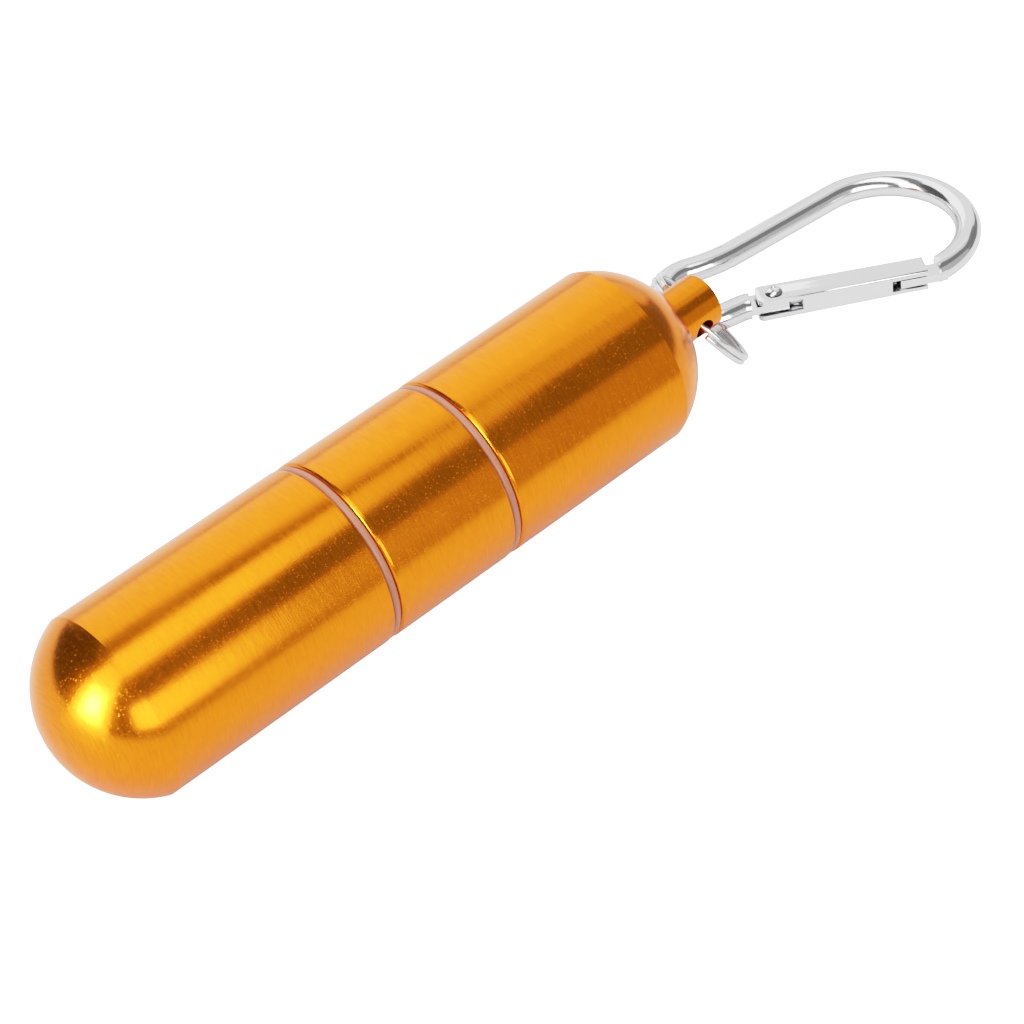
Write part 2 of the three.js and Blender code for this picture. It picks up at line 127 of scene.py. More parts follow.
def strip(name, angles, ends, level, far_angles=None):
    """A softbox along X between two angles about the capsule, 0 being +Y and 90 straight up.

    Its far end may stand between other angles.
    """
    corners = []
    for x, pair in zip(ends, (angles, (far_angles or angles)[::-1])):
        for angle in map(math.radians, pair):
            y = AXIS_Y + STRIP_DISTANCE * math.cos(angle)
            z = AXIS_Z + STRIP_DISTANCE * math.sin(angle)
            corners.append((x, y, z))
    softbox(name, corners, level)


def wall(name, distance, azimuths, elevations, level):
    """A flat softbox that faces the capsule's nose, between two azimuths and two elevations."""
    middle = math.radians(sum(azimuths) / 2)
    half = math.radians(azimuths[1] - azimuths[0]) / 2
    facing = Vector((math.cos(middle), math.sin(middle), 0))
    side = Vector((-math.sin(middle), math.cos(middle), 0))
    nose_radius = AXIS_Z
    nose_centre = Vector((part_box("front_shell")[0].x + nose_radius, AXIS_Y, AXIS_Z))
    low, high = (distance * math.tan(math.radians(elevation)) for elevation in elevations)
    corners = [
        nose_centre + facing * distance + side * (end * distance * math.tan(half)) + Vector((0, 0, z))
        for end, z in ((-1, low), (1, low), (1, high), (-1, high))
    ]
    softbox(name, corners, level)


strip("back_softbox", (3, 57), (-0.1, 0.29), 1.72)
strip("back_softbox_far", (3, 57), (0.29, 1.4), 1.2)
strip("back_softbox_corner", (57, 58), (0.09, 0.27), 1.5, far_angles=(57, 80))
strip("back_softbox_end", (57, 80), (0.27, 0.8), 1.3)
for angles, ends, level in (
    ((77, 107), (-0.30, 0.11), 2.75),
    ((77, 105), (0.11, 0.145), 2.2),
    ((79, 104), (0.145, 0.175), 1.55),
    ((79, 102), (0.175, 0.205), 1.1),
    ((80, 99), (0.205, 0.8), 0.86),
):
    strip("top_softbox", angles, ends, level)
strip("front_softbox_bright", (137, 168), (-0.5, 0.103), 3.9)
strip("front_softbox_dim", (136, 170), (0.103, 0.9), 0.55)
strip("front_softbox_edge", (170, 180), (0.09, 0.9), 0.55)
wall("nose_softbox", 0.5, (160, 200), (-1, 62), 3.0)
wall("nose_softbox_core", 0.48, (169, 191), (5, 38), 20)
wall("nose_softbox_bulb", 0.46, (173, 187), (13, 29), 60)
wall("nose_flag", 0.45, (98, 146), (-1, 52), 0.1)

# One broad overhead light falls on what is dull: the floor and the seals.
overhead_data = bpy.data.lights.new("overhead", "AREA")
overhead_data.size = 2.0
overhead_data.energy = 33
overhead = bpy.data.objects.new("overhead", overhead_data)
overhead.location = (0, 0.2, 1.0)
overhead.visible_glossy = False
overhead.visible_camera = False
scene.collection.objects.link(overhead)


def seen_and_lit(tree, socket, seen, lit):
    """Sets a strength that is one value for what is seen direct and another for the light it gives."""
    path = tree.nodes.new("ShaderNodeLightPath")
    choice = tree.nodes.new("ShaderNodeMapRange")
    choice.inputs["To Min"].default_value = lit
    choice.inputs["To Max"].default_value = seen
    tree.links.new(path.outputs["Is Camera Ray"], choice.inputs["Value"])
    tree.links.new(choice.outputs[0], socket)


floor_material = bpy.data.materials.new("floor")
floor_material.use_nodes = True
floor_shader = floor_material.node_tree.nodes["Principled BSDF"]
floor_shader.inputs["Base Color"].default_value = (0.8, 0.8, 0.8, 1)
floor_shader.inputs["Roughness"].default_value = 0.9
floor_shader.inputs["Emission Color"].default_value = (1, 1, 1, 1)
seen_and_lit(floor_material.node_tree, floor_shader.inputs["Emission Strength"], 3, 0.06)
floor_bm = bmesh.new()
bmesh.ops.create_grid(floor_bm, x_segments=1, y_segments=1, size=4)
floor = stage_object("floor", floor_bm, floor_material)
floor.location.z = -0.00002

world = bpy.data.worlds.new("studio")
world.use_nodes = True
room = world.node_tree.nodes["Background"]
room.inputs["Color"].default_value = (1, 1, 1, 1)
seen_and_lit(world.node_tree, room.inputs["Strength"], 3, 0.24)
scene.world = world

# ---------------------------------------------------------------- front shell
# The domed nose section, turned from aluminium bar and anodised gold. It is bored from its open end,
# and its socket is threaded inside to take the middle section's spigot.
MM = 0.001
TURN_STEPS = 160
LONG_RUN, END_STEP = 0.6, 0.04
CREASE = 17
NOSE_SPHERE_EXTRA = 0.86
WALL_THICKNESS = 1.5
RIM_ROUND, MOUTH_ROUND = 0.3, 0.35
SOCKET_THREAD_LENGTH = 9.0
THREAD_RUNOUT, RUNOUT_END = 0.6, 1.0
BORE_STEP = 0.35
FRONT_BORE_OVERRUN = 3.4
BORE_CONE, BORE_TIP_R = 5.0, 6.0
THREAD_PITCH, THREAD_STEPS = 1.5, 72
THREAD_BASE, THREAD_CREST = 0.36, 0.1
SOCKET_THREAD_START, SOCKET_TURNS = 0.4, 5
SOCKET_RIDGE, SOCKET_RIDGE_ROOT = 0.36, 0.12
shell_low, shell_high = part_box("front_shell")
FRONT_RIM = shell_high.x
BODY_R = (shell_high.z - shell_low.z) / 2 / MM
SOCKET_R = BODY_R - WALL_THICKNESS
NOSE_TIP = (shell_low.x - FRONT_RIM) / MM


def arc(x, r, radius, start, stop, steps):
    """Points of a round stretch about (x, r), from start to stop degrees, 90 being outwards."""
    turn = [math.radians(start + (stop - start) * i / steps) for i in range(steps + 1)]
    return [(x + radius * math.cos(angle), r + radius * math.sin(angle)) for angle in turn]


def spun(bm, outline):
    """Spins (x, radius) points, in millimetres from the front rim, about the capsule's axis.

    A long straight stretch gets a point close to each of its ends, so that it shades straight.
    """
    closed = outline[0][1] > 0
    points = []
    for here, there in zip(outline, outline[1:] + outline[:1]):
        points.append(here)
        run = math.dist(here, there)
        if run > LONG_RUN and (closed or here is not outline[-1]):
            for share in (END_STEP / run, 1 - END_STEP / run):
                points.append(tuple(a + (b - a) * share for a, b in zip(here, there)))
    line = [bm.verts.new((FRONT_RIM + x * MM, AXIS_Y, AXIS_Z + r * MM)) for x, r in points]
    pairs = list(zip(line, line[1:])) + ([(line[-1], line[0])] if closed else [])
    edges = [bm.edges.new(pair) for pair in pairs]
    bmesh.ops.spin(
        bm,
        geom=line + edges,
        cent=(0, AXIS_Y, AXIS_Z),
        axis=(1, 0, 0),
        angle=2 * math.pi,
        steps=TURN_STEPS,
        use_merge=True,
    )


def end_verts(made):
    """The vertices of the last copy that a spin made."""
    return [v for v in made["geom_last"] if isinstance(v, bmesh.types.BMVert)]


def helix(bm, start, turns, root_r, crest_r):
    """Winds a right-hand thread ridge round the axis, from x = start, root_r to crest_r across it."""
    section = [(-THREAD_BASE, root_r), (-THREAD_CREST, crest_r),
               (THREAD_CREST, crest_r), (THREAD_BASE, root_r)]
    ring = [bm.verts.new((FRONT_RIM + (start + x) * MM, AXIS_Y, AXIS_Z + r * MM)) for x, r in section]
    edges = [bm.edges.new((ring[i], ring[(i + 1) % 4])) for i in range(4)]
    bm.faces.new(ring)
    made = bmesh.ops.spin(
        bm,
        geom=ring + edges,
        cent=(0, AXIS_Y, AXIS_Z),
        axis=(1, 0, 0),
        dvec=(THREAD_PITCH * MM / THREAD_STEPS, 0, 0),
        angle=2 * math.pi * turns,
        steps=int(turns * THREAD_STEPS),
    )
    bmesh.ops.contextual_create(bm, geom=end_verts(made))


def socket_mouth(rim):
    """A section's rounded rim and the rounded mouth of the socket inside it."""
    return [
        *arc(rim - RIM_ROUND, BODY_R - RIM_ROUND, RIM_ROUND, 90, 0, 6),
        *arc(rim - MOUTH_ROUND, SOCKET_R + MOUTH_ROUND, MOUTH_ROUND, 0, -90, 6),
    ]


def socket_thread(bm, rim):
    start = rim - SOCKET_THREAD_LENGTH + SOCKET_THREAD_START
    helix(bm, start, SOCKET_TURNS, SOCKET_R + SOCKET_RIDGE_ROOT, SOCKET_R - SOCKET_RIDGE)


def piece(bm, name, body, node, material, sharp=32):
    """Closes a mesh, shades it smooth up to its sharp edges, and hands it to its body."""
    bmesh.ops.remove_doubles(bm, verts=bm.verts, dist=1e-7)
    bmesh.ops.recalc_face_normals(bm, faces=bm.faces)
    mesh = bpy.data.meshes.new(name)
    bm.to_mesh(mesh)
    bm.free()
    mesh.polygons.foreach_set("use_smooth", [True] * len(mesh.polygons))
    mesh.set_sharp_from_angle(angle=math.radians(sharp))
    mesh.materials.append(material)
    made = bpy.data.objects.new(name, mesh)
    scene.collection.objects.link(made)
    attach(made, body)
    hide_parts(node)
    return made


def principled(name, colour, metallic, roughness):
    material = bpy.data.materials.new(name)
    material.use_nodes = True
    shader = material.node_tree.nodes["Principled BSDF"]
    shader.inputs["Base Color"].default_value = (*colour, 1)
    shader.inputs["Metallic"].default_value = metallic
    shader.inputs["Roughness"].default_value = roughness
    return material, shader


def noise(material, scale, detail):
    """Noise on object coordinates, stretched by a scale along each axis."""
    nodes, links = material.node_tree.nodes, material.node_tree.links
    coordinate = nodes.new("ShaderNodeTexCoord")
    mapping = nodes.new("ShaderNodeMapping")
    mapping.inputs["Scale"].default_value = scale
    texture = nodes.new("ShaderNodeTexNoise")
    texture.inputs["Scale"].default_value = 1
    texture.inputs["Detail"].default_value = detail
    links.new(coordinate.outputs["Object"], mapping.inputs["Vector"])
    links.new(mapping.outputs["Vector"], texture.inputs["Vector"])
    return texture.outputs["Fac"]


def ranged(material, source, low, high, to_low, to_high):
    """Maps low..high to to_low..to_high."""
    node = material.node_tree.nodes.new("ShaderNodeMapRange")
    for socket, value in zip(node.inputs[1:5], (low, high, to_low, to_high)):
        socket.default_value = value
    material.node_tree.links.new(source, node.inputs[0])
    return node.outputs[0]


def bump(material, source, depth, strength=1.0, under=None):
    """A bump of a depth in metres, on top of another bump if there is one."""
    node = material.node_tree.nodes.new("ShaderNodeBump")
    node.inputs["Strength"].default_value = strength
    node.inputs["Distance"].default_value = depth
    material.node_tree.links.new(source, node.inputs["Height"])
    if under is not None:
        material.node_tree.links.new(under, node.inputs["Normal"])
    return node.outputs["Normal"]


def added(material, first, second):
    node = material.node_tree.nodes.new("ShaderNodeMath")
    node.operation = "ADD"
    material.node_tree.links.new(first, node.inputs[0])
    material.node_tree.links.new(second, node.inputs[1])
    return node.outputs[0]


def tinted(material, source, low, high):
    """A colour between two, by a value from 0 to 1."""
    mix = material.node_tree.nodes.new("ShaderNodeMix")
    mix.data_type = "RGBA"
    mix.inputs[6].default_value = (*low, 1)
    mix.inputs[7].default_value = (*high, 1)
    material.node_tree.links.new(source, mix.inputs["Factor"])
    return mix.outputs[2]


def gold_anodised():
    """Amber-gold anodising over fine lathe lines, with pin-prick specks."""
    material, shader = principled("gold_anodised", (0.93, 0.225, 0.007), 1, 0.22)
    links = material.node_tree.links
    lines = noise(material, (6400, 420, 420), 2)
    grain = noise(material, (6500, 6500, 6500), 1)
    tracks = noise(material, (1500, 20, 20), 1)
    specks = ranged(material, noise(material, (5200, 5200, 5200), 0), 0.74, 0.81, 0, 1)
    cloud = noise(material, (90, 60, 60), 2)
    line_tint = ranged(material, lines, 0.3, 0.7, 0, 1)
    colour = tinted(material, line_tint, (0.87, 0.205, 0.008), (0.99, 0.252, 0.009))
    links.new(colour, shader.inputs["Base Color"])
    relief = bump(material, lines, 0.000005)
    relief = bump(material, grain, 0.000004, under=relief)
    relief = bump(material, tracks, 0.0000012, under=relief)
    relief = bump(material, specks, 0.000009, under=relief)
    links.new(relief, shader.inputs["Normal"])
    broad_sheen = ranged(material, cloud, 0.3, 0.7, 0.17, 0.23)
    line_sheen = ranged(material, lines, 0.3, 0.7, -0.02, 0.02)
    links.new(added(material, broad_sheen, line_sheen), shader.inputs["Roughness"])
    return material


gold = gold_anodised()
nose_sphere = BODY_R + NOSE_SPHERE_EXTRA
nose_half = math.degrees(math.asin(BODY_R / nose_sphere))
nose_centre = NOSE_TIP + nose_sphere
front_bore = nose_centre - nose_sphere * math.cos(math.radians(nose_half)) - FRONT_BORE_OVERRUN
front_outline = [
    *arc(nose_centre, 0, nose_sphere, 180, 180 - nose_half, 48),
    *socket_mouth(0),
    (-SOCKET_THREAD_LENGTH - THREAD_RUNOUT, SOCKET_R),
    (-SOCKET_THREAD_LENGTH - RUNOUT_END, SOCKET_R - BORE_STEP),
    (front_bore + BORE_CONE, SOCKET_R - BORE_STEP),
    (front_bore, BORE_TIP_R),
    (front_bore, 0),
]
front_outline[0] = (NOSE_TIP, 0)
bm = bmesh.new()
spun(bm, front_outline)
socket_thread(bm, 0)
piece(bm, "nose_shell", "front_shell", "front_shell", gold, CREASE)

# ---------------------------------------------------------------- ring seals
# Two moulded silicone rings, milky and slightly translucent. Each is stretched over a spigot and
# pinched between a section's rim and the next section's shoulder.
SEAL_CROWN, SEAL_INNER_ROUND = 0.42, 0.2
SEAL_STRETCH = 0.18


def milky_silicone():
    material, shader = principled("milky_silicone", (0.50, 0.205, 0.12), 0, 0.42)
    shader.inputs["Subsurface Weight"].default_value = 0.25
    shader.inputs["Subsurface Radius"].default_value = (0.6, 0.35, 0.25)
    shader.inputs["Subsurface Scale"].default_value = 0.0008
    shader.inputs["Coat Weight"].default_value = 0.25
    shader.inputs["Coat Roughness"].default_value = 0.3
    relief = bump(material, noise(material, (900, 900, 900), 3), 0.00002, 0.6)
    material.node_tree.links.new(relief, shader.inputs["Normal"])
    return material


silicone = milky_silicone()
for name, node in (("front_ring", "front_seal"), ("rear_ring", "rear_seal")):
    low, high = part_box(node)
    near, far = ((x - FRONT_RIM) / MM for x in (low.x, high.x))
    crown_r = (high.z - low.z) / 2 / MM - SEAL_CROWN
    inner_r = SOCKET_R - SEAL_STRETCH + SEAL_INNER_ROUND
    bm = bmesh.new()
    spun(bm, [
        *arc(near + SEAL_CROWN, crown_r, SEAL_CROWN, 180, 90, 6),
        *arc(far - SEAL_CROWN, crown_r, SEAL_CROWN, 90, 0, 6),
        *arc(far - SEAL_INNER_ROUND, inner_r, SEAL_INNER_ROUND, 0, -90, 3),
        *arc(near + SEAL_INNER_ROUND, inner_r, SEAL_INNER_ROUND, -90, -180, 3),
    ])
    piece(bm, name, node, node, silicone)

# ---------------------------------------------------------------- middle section
# A short tube with a threaded spigot towards the nose, a threaded socket towards the post, and a
# wall between its two bores. The shoulder beside its seal is rounded over.
SPIGOT_CLEARANCE, SPIGOT_WALL, SPIGOT_LENGTH = 0.3, 1.6, 8.5
SPIGOT_MOUTH_ROUND, SPIGOT_LEAD = 0.25, 0.5
THREAD_RELIEF = 0.3
COLLAR, ROOT_CHAMFER = 0.6, 0.15
SHOULDER_ROUND, SHOULDER_STEP = 0.55, 0.7
SEAL_SEAT = 1.2
SPIGOT_THREAD_START, SPIGOT_TURNS = 0.9, 4.5
SPIGOT_RIDGE, SPIGOT_RIDGE_ROOT = 0.1, 0.15
PARTITION, SOCKET_DEPTH = 1.5, 10.0
BORE_CORNER = 0.6
SPIGOT_R = SOCKET_R - SPIGOT_CLEARANCE
SPIGOT_BORE_R = SPIGOT_R - SPIGOT_WALL
SPIGOT_CORE_R = SPIGOT_R - THREAD_RELIEF


def spigot(shoulder):
    """The outside of a spigot and its rounded shoulder, from the mouth of its bore."""
    seat = shoulder - SEAL_SEAT
    end = seat - SPIGOT_LENGTH
    mouth_r = SPIGOT_BORE_R + SPIGOT_MOUTH_ROUND
    rounded = BODY_R - SHOULDER_ROUND
    return [
        *arc(end + SPIGOT_MOUTH_ROUND, mouth_r, SPIGOT_MOUTH_ROUND, 270, 180, 6),
        (end, SPIGOT_CORE_R - SPIGOT_LEAD),
        (end + SPIGOT_LEAD, SPIGOT_CORE_R),
        (seat - COLLAR - THREAD_RELIEF, SPIGOT_CORE_R),
        (seat - COLLAR, SPIGOT_R),
        (shoulder - ROOT_CHAMFER, SPIGOT_R),
        (shoulder, SPIGOT_R + ROOT_CHAMFER),
        (shoulder, BODY_R - SHOULDER_STEP),
        *arc(shoulder + SHOULDER_ROUND, rounded, SHOULDER_ROUND, 172, 90, 8),
    ]


def spigot_thread(bm, shoulder):
    start = shoulder - SEAL_SEAT - SPIGOT_LENGTH + SPIGOT_THREAD_START
    helix(bm, start, SPIGOT_TURNS, SPIGOT_CORE_R - SPIGOT_RIDGE_ROOT, SPIGOT_R + SPIGOT_RIDGE)


middle_rim = (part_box("middle_section")[1].x - FRONT_RIM) / MM
partition_far = middle_rim - SOCKET_DEPTH
partition_near = partition_far - PARTITION
bm = bmesh.new()
spun(bm, [
    (partition_near, 0),
    *arc(partition_near - BORE_CORNER, SPIGOT_BORE_R - BORE_CORNER, BORE_CORNER, 0, 90, 6),
    *spigot(SEAL_SEAT),
    *socket_mouth(middle_rim),
    *arc(partition_far + BORE_CORNER, SOCKET_R - BORE_CORNER, BORE_CORNER, 90, 180, 6),
    (partition_far, 0),
])
spigot_thread(bm, SEAL_SEAT)
socket_thread(bm, middle_rim)
piece(bm, "middle_tube", "middle_section", "middle_section", gold, CREASE)

# ---------------------------------------------------------------- rear cap
# The longer end section with its domed end and solid post, one turned piece. The post is cross
# drilled for the split ring.
REAR_SPHERE_EXTRA = 0.75
POST_R, POST_LENGTH = 3.95, 6.9
POST_ROOT_STEP, POST_END_ROUND = 0.12, 0.4
REAR_BORE_OVERRUN = 0.7
HOLE_R = 1.5


def joint(name):
    return next(j for j in frame["joints"] if j["name"] == name)


def solid_object(name, bm):
    """A loose closed mesh to cut or join with."""
    bmesh.ops.remove_doubles(bm, verts=bm.verts, dist=1e-7)
    bmesh.ops.recalc_face_normals(bm, faces=bm.faces)
    mesh = bpy.data.meshes.new(name)
    bm.to_mesh(mesh)
    bm.free()
    made = bpy.data.objects.new(name, mesh)
    scene.collection.objects.link(made)
    return made


def carved(target, operations):
    """Joins and cuts target by other closed meshes, all used up, and gives the result as a bmesh."""
    for operation, tool in operations:
        step = target.modifiers.new(operation, "BOOLEAN")
        step.operation = operation
        step.solver = "EXACT"
        step.object = tool
    bpy.context.view_layer.update()
    evaluated = target.evaluated_get(bpy.context.evaluated_depsgraph_get())
    bm = bmesh.new()
    bm.from_mesh(evaluated.to_mesh())
    for _, tool in operations:
        bpy.data.objects.remove(tool)
    bpy.data.objects.remove(target)
    return bm


def drill_rod(name, radius, depth, sides, matrix):
    """A round rod to drill with, its sizes in millimetres."""
    bm = bmesh.new()
    bmesh.ops.create_cone(
        bm,
        cap_ends=True,
        segments=sides,
        radius1=radius * MM,
        radius2=radius * MM,
        depth=depth * MM,
        matrix=matrix,
    )
    return solid_object(name, bm)


hole_centre = Vector(joint("ring_swing")["pos_m"])
hole_axis = Vector(joint("ring_swing")["axis"]).normalized()
rear_shoulder = middle_rim + SEAL_SEAT
post_end = (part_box("rear_cap")[1].x - FRONT_RIM) / MM
post_root = post_end - POST_LENGTH
rear_sphere = BODY_R + REAR_SPHERE_EXTRA
rear_centre = post_root - math.sqrt(rear_sphere**2 - POST_R**2)
rear_from = math.degrees(math.asin(BODY_R / rear_sphere))
rear_to = math.degrees(math.asin(POST_R / rear_sphere))
rear_edge = rear_centre + math.sqrt(rear_sphere**2 - BODY_R**2)
rear_bore = rear_edge + REAR_BORE_OVERRUN
bm = bmesh.new()
spun(bm, [
    (rear_bore, 0),
    (rear_bore, BORE_TIP_R),
    (rear_bore - BORE_CONE, SPIGOT_BORE_R),
    *spigot(rear_shoulder),
    *arc(rear_centre, 0, rear_sphere, rear_from, rear_to, 40),
    (post_root + POST_ROOT_STEP, POST_R),
    *arc(post_end - POST_END_ROUND, POST_R - POST_END_ROUND, POST_END_ROUND, 90, 0, 7),
    (post_end, 0),
])
spigot_thread(bm, rear_shoulder)
blank = solid_object("rear_blank", bm)
drill_turn = Vector((0, 0, 1)).rotation_difference(hole_axis).to_matrix().to_4x4()
drill_place = Matrix.Translation(hole_centre) @ drill_turn
drill = drill_rod("drill", HOLE_R, 4 * POST_R, 64, drill_place)
bm = carved(blank, [("DIFFERENCE", drill)])
piece(bm, "rear_cap_turned", "rear_cap", "rear_cap", gold, CREASE)

# ---------------------------------------------------------------- split ring
# Flat nickel-plated wire wound twice. It crosses from its lower coil to its upper one inside the
# post's hole, and both cut ends lie just beside the post.
RING_LINE_R = 8.05
RING_WIRE_W, RING_WIRE_T, RING_EDGE = 1.1, 0.7, 0.16
RING_RISE = 0.4
RING_END_ANGLE = math.radians(4.6)
COIL_STEPS, CROSSING_STEPS = 88, 20
ring_far = Vector(joint("clip_swing")["pos_m"])
ring_x = (ring_far - hole_centre).normalized()
ring_y = Vector(joint("clip_swing")["axis"]).normalized()
ring_z = ring_x.cross(ring_y).normalized()
ring_middle = ring_far - ring_x * RING_LINE_R * MM


def bright_plating(name, colour, roughness):
    """Bright metal, a little uneven, with faint tumbling marks."""
    material, shader = principled(name, colour, 1, roughness)
    links = material.node_tree.links
    waves = noise(material, (420, 420, 420), 2)
    marks = noise(material, (5200, 5200, 1500), 2)
    relief = bump(material, waves, 0.00003)
    relief = bump(material, marks, 0.0000015, under=relief)
    links.new(relief, shader.inputs["Normal"])
    sheen = ranged(material, marks, 0.3, 0.7, roughness - 0.04, roughness + 0.08)
    links.new(sheen, shader.inputs["Roughness"])
    return material


nickel = bright_plating("nickel_plate", (0.77, 0.77, 0.78), 0.12)
post_half = math.asin(POST_R / RING_LINE_R)
ring_cut = post_half + RING_END_ANGLE
half_w, half_t = RING_WIRE_W / 2, RING_WIRE_T / 2
edge_w, edge_t = half_w - RING_EDGE, half_t - RING_EDGE
ring_section = [(-edge_w, -half_t), (edge_w, -half_t), (half_w, -edge_t), (half_w, edge_t),
                (edge_w, half_t), (-edge_w, half_t), (-half_w, edge_t), (-half_w, -edge_t)]
bm = bmesh.new()
loop = []
for across, height in ring_section:
    radius = RING_LINE_R + across
    spot = Vector((-radius * math.cos(ring_cut), -radius * math.sin(ring_cut), height - RING_RISE))
    loop.append(bm.verts.new(spot * MM))
loop_edges = [bm.edges.new((loop[i], loop[(i + 1) % len(loop)])) for i in range(len(loop))]
bm.faces.new(loop)
geometry = loop + loop_edges
coil = 2 * math.pi - post_half - ring_cut
crossing = 2 * post_half
for angle, rise, steps in (
    (coil, 0, COIL_STEPS),
    (crossing, 2 * RING_RISE, CROSSING_STEPS),
    (coil, 0, COIL_STEPS),
):
    made = bmesh.ops.spin(
        bm,
        geom=geometry,
        cent=(0, 0, 0),
        axis=(0, 0, 1),
        dvec=(0, 0, rise * MM / steps),
        angle=angle,
        steps=steps,
    )
    geometry = made["geom_last"]
bmesh.ops.contextual_create(bm, geom=end_verts(made))
ring_frame = Matrix((ring_x, ring_y, ring_z)).transposed().to_4x4()
bmesh.ops.transform(bm, matrix=Matrix.Translation(ring_middle) @ ring_frame, verts=bm.verts)
piece(bm, "split_ring_wire", "split_ring", "split_ring", nickel, sharp=50)

# ---------------------------------------------------------------- clip body
# One length of round rod bent cold into a wide lobe, a straight spine, a slight waist and a narrow
# lobe, then plated. Its nose is milled to a blade and its other end to a tongue for the gate.
ROD_R, ROD_SIDES = 1.85, 40
WIDE_R, LOBE_R, WAIST_R, NECK_BEND_R = 11.7, 6.0, 21.96, 4.0
WAIST_ANGLE, NECK_ANGLE = math.radians(8), math.radians(20)
NECK_RUN, HINGE_RUN = 2.125, 0.133
GATE_INSET = 0.63
GATE_LENGTH, GATE_WIDTH, GATE_THICKNESS = 24.1, 3.7, 3.4
GATE_END, NOSE_GAP, HINGE_GAP = 2.75, 1.85, 1.0
GATE_WEB, SLOT_GAP = 0.7, 0.25
BLADE_T, BLADE_REACH, BLADE_INSET = 1.3, 3.9, 0.1
TONGUE_REACH, TONGUE_INSET = 1.8, 0.35
BLADE_ROOT, TONGUE_ROOT = 1, 0.6
RIVET_INSET, RIVET_R, RIVET_GAP = 2.5, 0.8, 0.2
CLIP_EDGE, GATE_EDGE = 0.14, 0.12
MILLED_CREASE = 38
GATE_Y = GATE_INSET - WIDE_R
GATE_HINGE = GATE_END - GATE_LENGTH
HINGE_SHOULDER = GATE_HINGE - HINGE_GAP
NOSE_SHOULDER = GATE_END + NOSE_GAP
RIVET_X = GATE_HINGE + RIVET_INSET
clip_mount = next(m for m in frame["record"]["mounts"] if m["name"] == "clip_loop")
clip_z = Vector(clip_mount["axis"]).normalized()
clip_x = Vector(joint("plunger_press")["axis"]).normalized()
clip_y = clip_z.cross(clip_x).normalized()
clip_turn = Matrix((clip_x, clip_y, clip_z)).transposed().to_4x4()
clip_place = Matrix.Translation(clip_mount["pos_m"]) @ clip_turn

neck_x = HINGE_SHOULDER - HINGE_RUN
lobe_x = neck_x - NECK_RUN * math.cos(NECK_ANGLE) - (NECK_BEND_R + LOBE_R) * math.sin(NECK_ANGLE)
neck_drop = NECK_BEND_R * (1 - math.cos(NECK_ANGLE)) + NECK_RUN * math.sin(NECK_ANGLE)
lobe_y = GATE_Y - neck_drop + LOBE_R * math.cos(NECK_ANGLE)
waist_x = lobe_x - (LOBE_R + WAIST_R) * math.sin(WAIST_ANGLE)
waist_y = lobe_y + (LOBE_R + WAIST_R) * math.cos(WAIST_ANGLE)
waist_distance = math.hypot(waist_x, waist_y)
spine_angle = (math.atan2(waist_y, waist_x) - math.pi
               + math.asin((WIDE_R + WAIST_R) / waist_distance))
spine_length = math.sqrt(waist_distance**2 - (WIDE_R + WAIST_R) ** 2)
nose_angle = math.asin(GATE_Y / WIDE_R)


def bent(bm, geometry, x, y, angle, steps):
    """Carries the rod's end round a bend about (x, y), in the clip's own plane."""
    made = bmesh.ops.spin(
        bm,
        geom=geometry,
        cent=(x * MM, y * MM, 0),
        axis=(0, 0, 1),
        angle=angle,
        steps=steps,
    )
    return made["geom_last"]


def straight(bm, geometry, length, heading):
    """Carries the rod's end straight on."""
    rim = [item for item in geometry if isinstance(item, bmesh.types.BMEdge)]
    made = bmesh.ops.extrude_edge_only(bm, edges=rim)["geom"]
    verts = [item for item in made if isinstance(item, bmesh.types.BMVert)]
    edges = [item for item in made if isinstance(item, bmesh.types.BMEdge)]
    run = Vector((math.cos(heading), math.sin(heading), 0)) * length * MM
    bmesh.ops.translate(bm, verts=verts, vec=run)
    return verts + [edge for edge in edges if all(v in verts for v in edge.verts)]


def block(bm, x_ends, y_ends, thickness):
    """A milled block in the clip's own frame, between two x and two y, thickness across Z."""
    size = Vector((x_ends[1] - x_ends[0], y_ends[1] - y_ends[0], thickness)) * MM
    middle = Vector((sum(x_ends), sum(y_ends), 0)) / 2 * MM
    place = Matrix.Translation(middle) @ Matrix.Diagonal((*size, 1))
    bmesh.ops.create_cube(bm, size=1, matrix=place)


def block_object(name, x_ends, y_ends, thickness):
    bm = bmesh.new()
    block(bm, x_ends, y_ends, thickness)
    return solid_object(name, bm)


def pin_hole(depth):
    """A rod that drills the rivet's hole."""
    place = Matrix.Translation((RIVET_X * MM, GATE_Y * MM, 0))
    return drill_rod("pin_hole", RIVET_R + RIVET_GAP, depth, 40, place)


def softened(bm, width, sharp=40):
    """Breaks the sharp edges a little, as tumbling before plating does."""
    bmesh.ops.remove_doubles(bm, verts=bm.verts, dist=2e-6)
    bmesh.ops.dissolve_limit(bm, angle_limit=math.radians(1), verts=bm.verts, edges=bm.edges)
    edges = [e for e in bm.edges if e.is_manifold and e.calc_face_angle(0) > math.radians(sharp)]
    bmesh.ops.bevel(
        bm,
        geom=edges,
        offset=width * MM,
        offset_type="OFFSET",
        affect="EDGES",
        segments=2,
        profile=0.5,
        material=-1,
        clamp_overlap=True,
    )
    bmesh.ops.triangulate(bm, faces=[f for f in bm.faces if len(f.verts) > 4])


